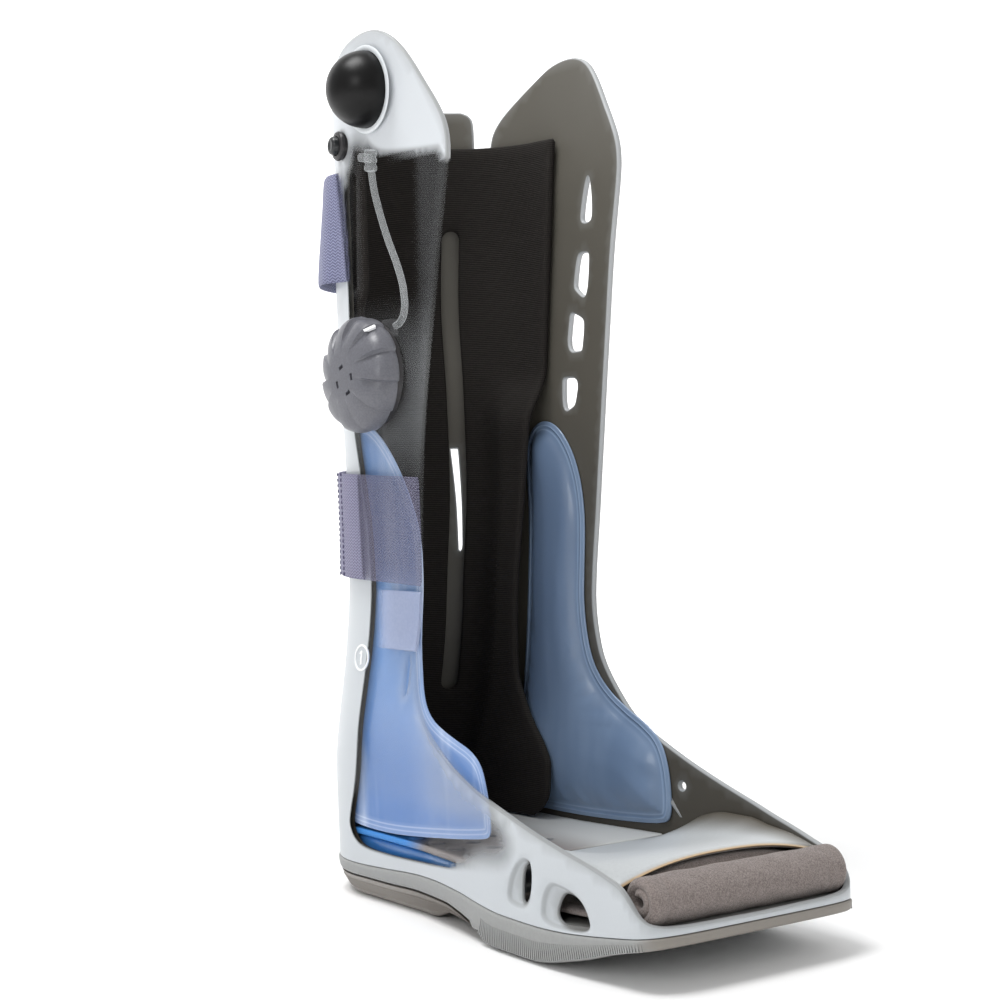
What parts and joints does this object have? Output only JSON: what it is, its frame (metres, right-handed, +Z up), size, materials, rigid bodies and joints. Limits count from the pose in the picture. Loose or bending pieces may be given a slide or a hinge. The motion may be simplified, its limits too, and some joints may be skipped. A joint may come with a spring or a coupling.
{
  "type": "medical walking boot",
  "caption": "Open-front rear shell of a pneumatic walking boot with liner, air cells, pump bulb, turning selector dial and rocker sole.",
  "frame": {"origin": "middle of the width on the heel block's flat underside, the face the boot rests on", "axes": "-Y towards the toe, +Y towards the heel, +Z up the leg, -X the side with the pump bulb and dial"},
  "size_m": [0.1428, 0.2902, 0.4196],
  "materials": {
    "shell": "satin light grey moulding",
    "outsole": "light grey moulded sole",
    "heel_block": "dark tread",
    "insole": "taupe, pierced",
    "footplate": "smooth light grey",
    "heel_cell": "blue cushion",
    "cell": "welded blue film",
    "liner": "fine horizontal ribs",
    "fleece": "white pile",
    "webbing": "lilac blue webbing",
    "guide": "pale moulding",
    "dial": "mid grey, scalloped",
    "dial_seat": "pale ring",
    "bulb": "grey rubber",
    "ring": "white",
    "collar": "black",
    "button": "grey cap",
    "clear_tube": "clear PVC"
  },
  "bodies": {
    "boot": {"shell": "shell", "outsole": "outsole", "heel_block": "heel_block", "insole": "insole", "footplate": "footplate", "heel_cell": "heel_cell", "near_cell": "cell", "far_cell": "cell", "liner": "liner", "toe_fleece": "fleece", "upper_strap": "webbing", "middle_strap": "webbing", "side_guide": "guide", "dial_seat": "dial_seat", "bulb": "bulb", "bulb_ring": "ring", "valve_collar": "collar", "tube_fitting": "ring", "tube": "clear_tube"},
    "selector": {"dial": "dial"},
    "release": {"valve_button": "button"}
  },
  "joints": [
    {"name": "dial_turn", "type": "hinge", "parent": "boot", "child": "selector", "pos_m": [-0.0573, -0.012, 0.257], "axis": [-1, 0, 0], "range_deg": [0, 270]},
    {"name": "valve_press", "type": "slide", "parent": "boot", "child": "release", "axis": [0.9547, -0.2976, 0], "range_m": [0, 0.0018], "stiffness_N_per_m": 500, "springref_m": -0.0005}
  ]
}
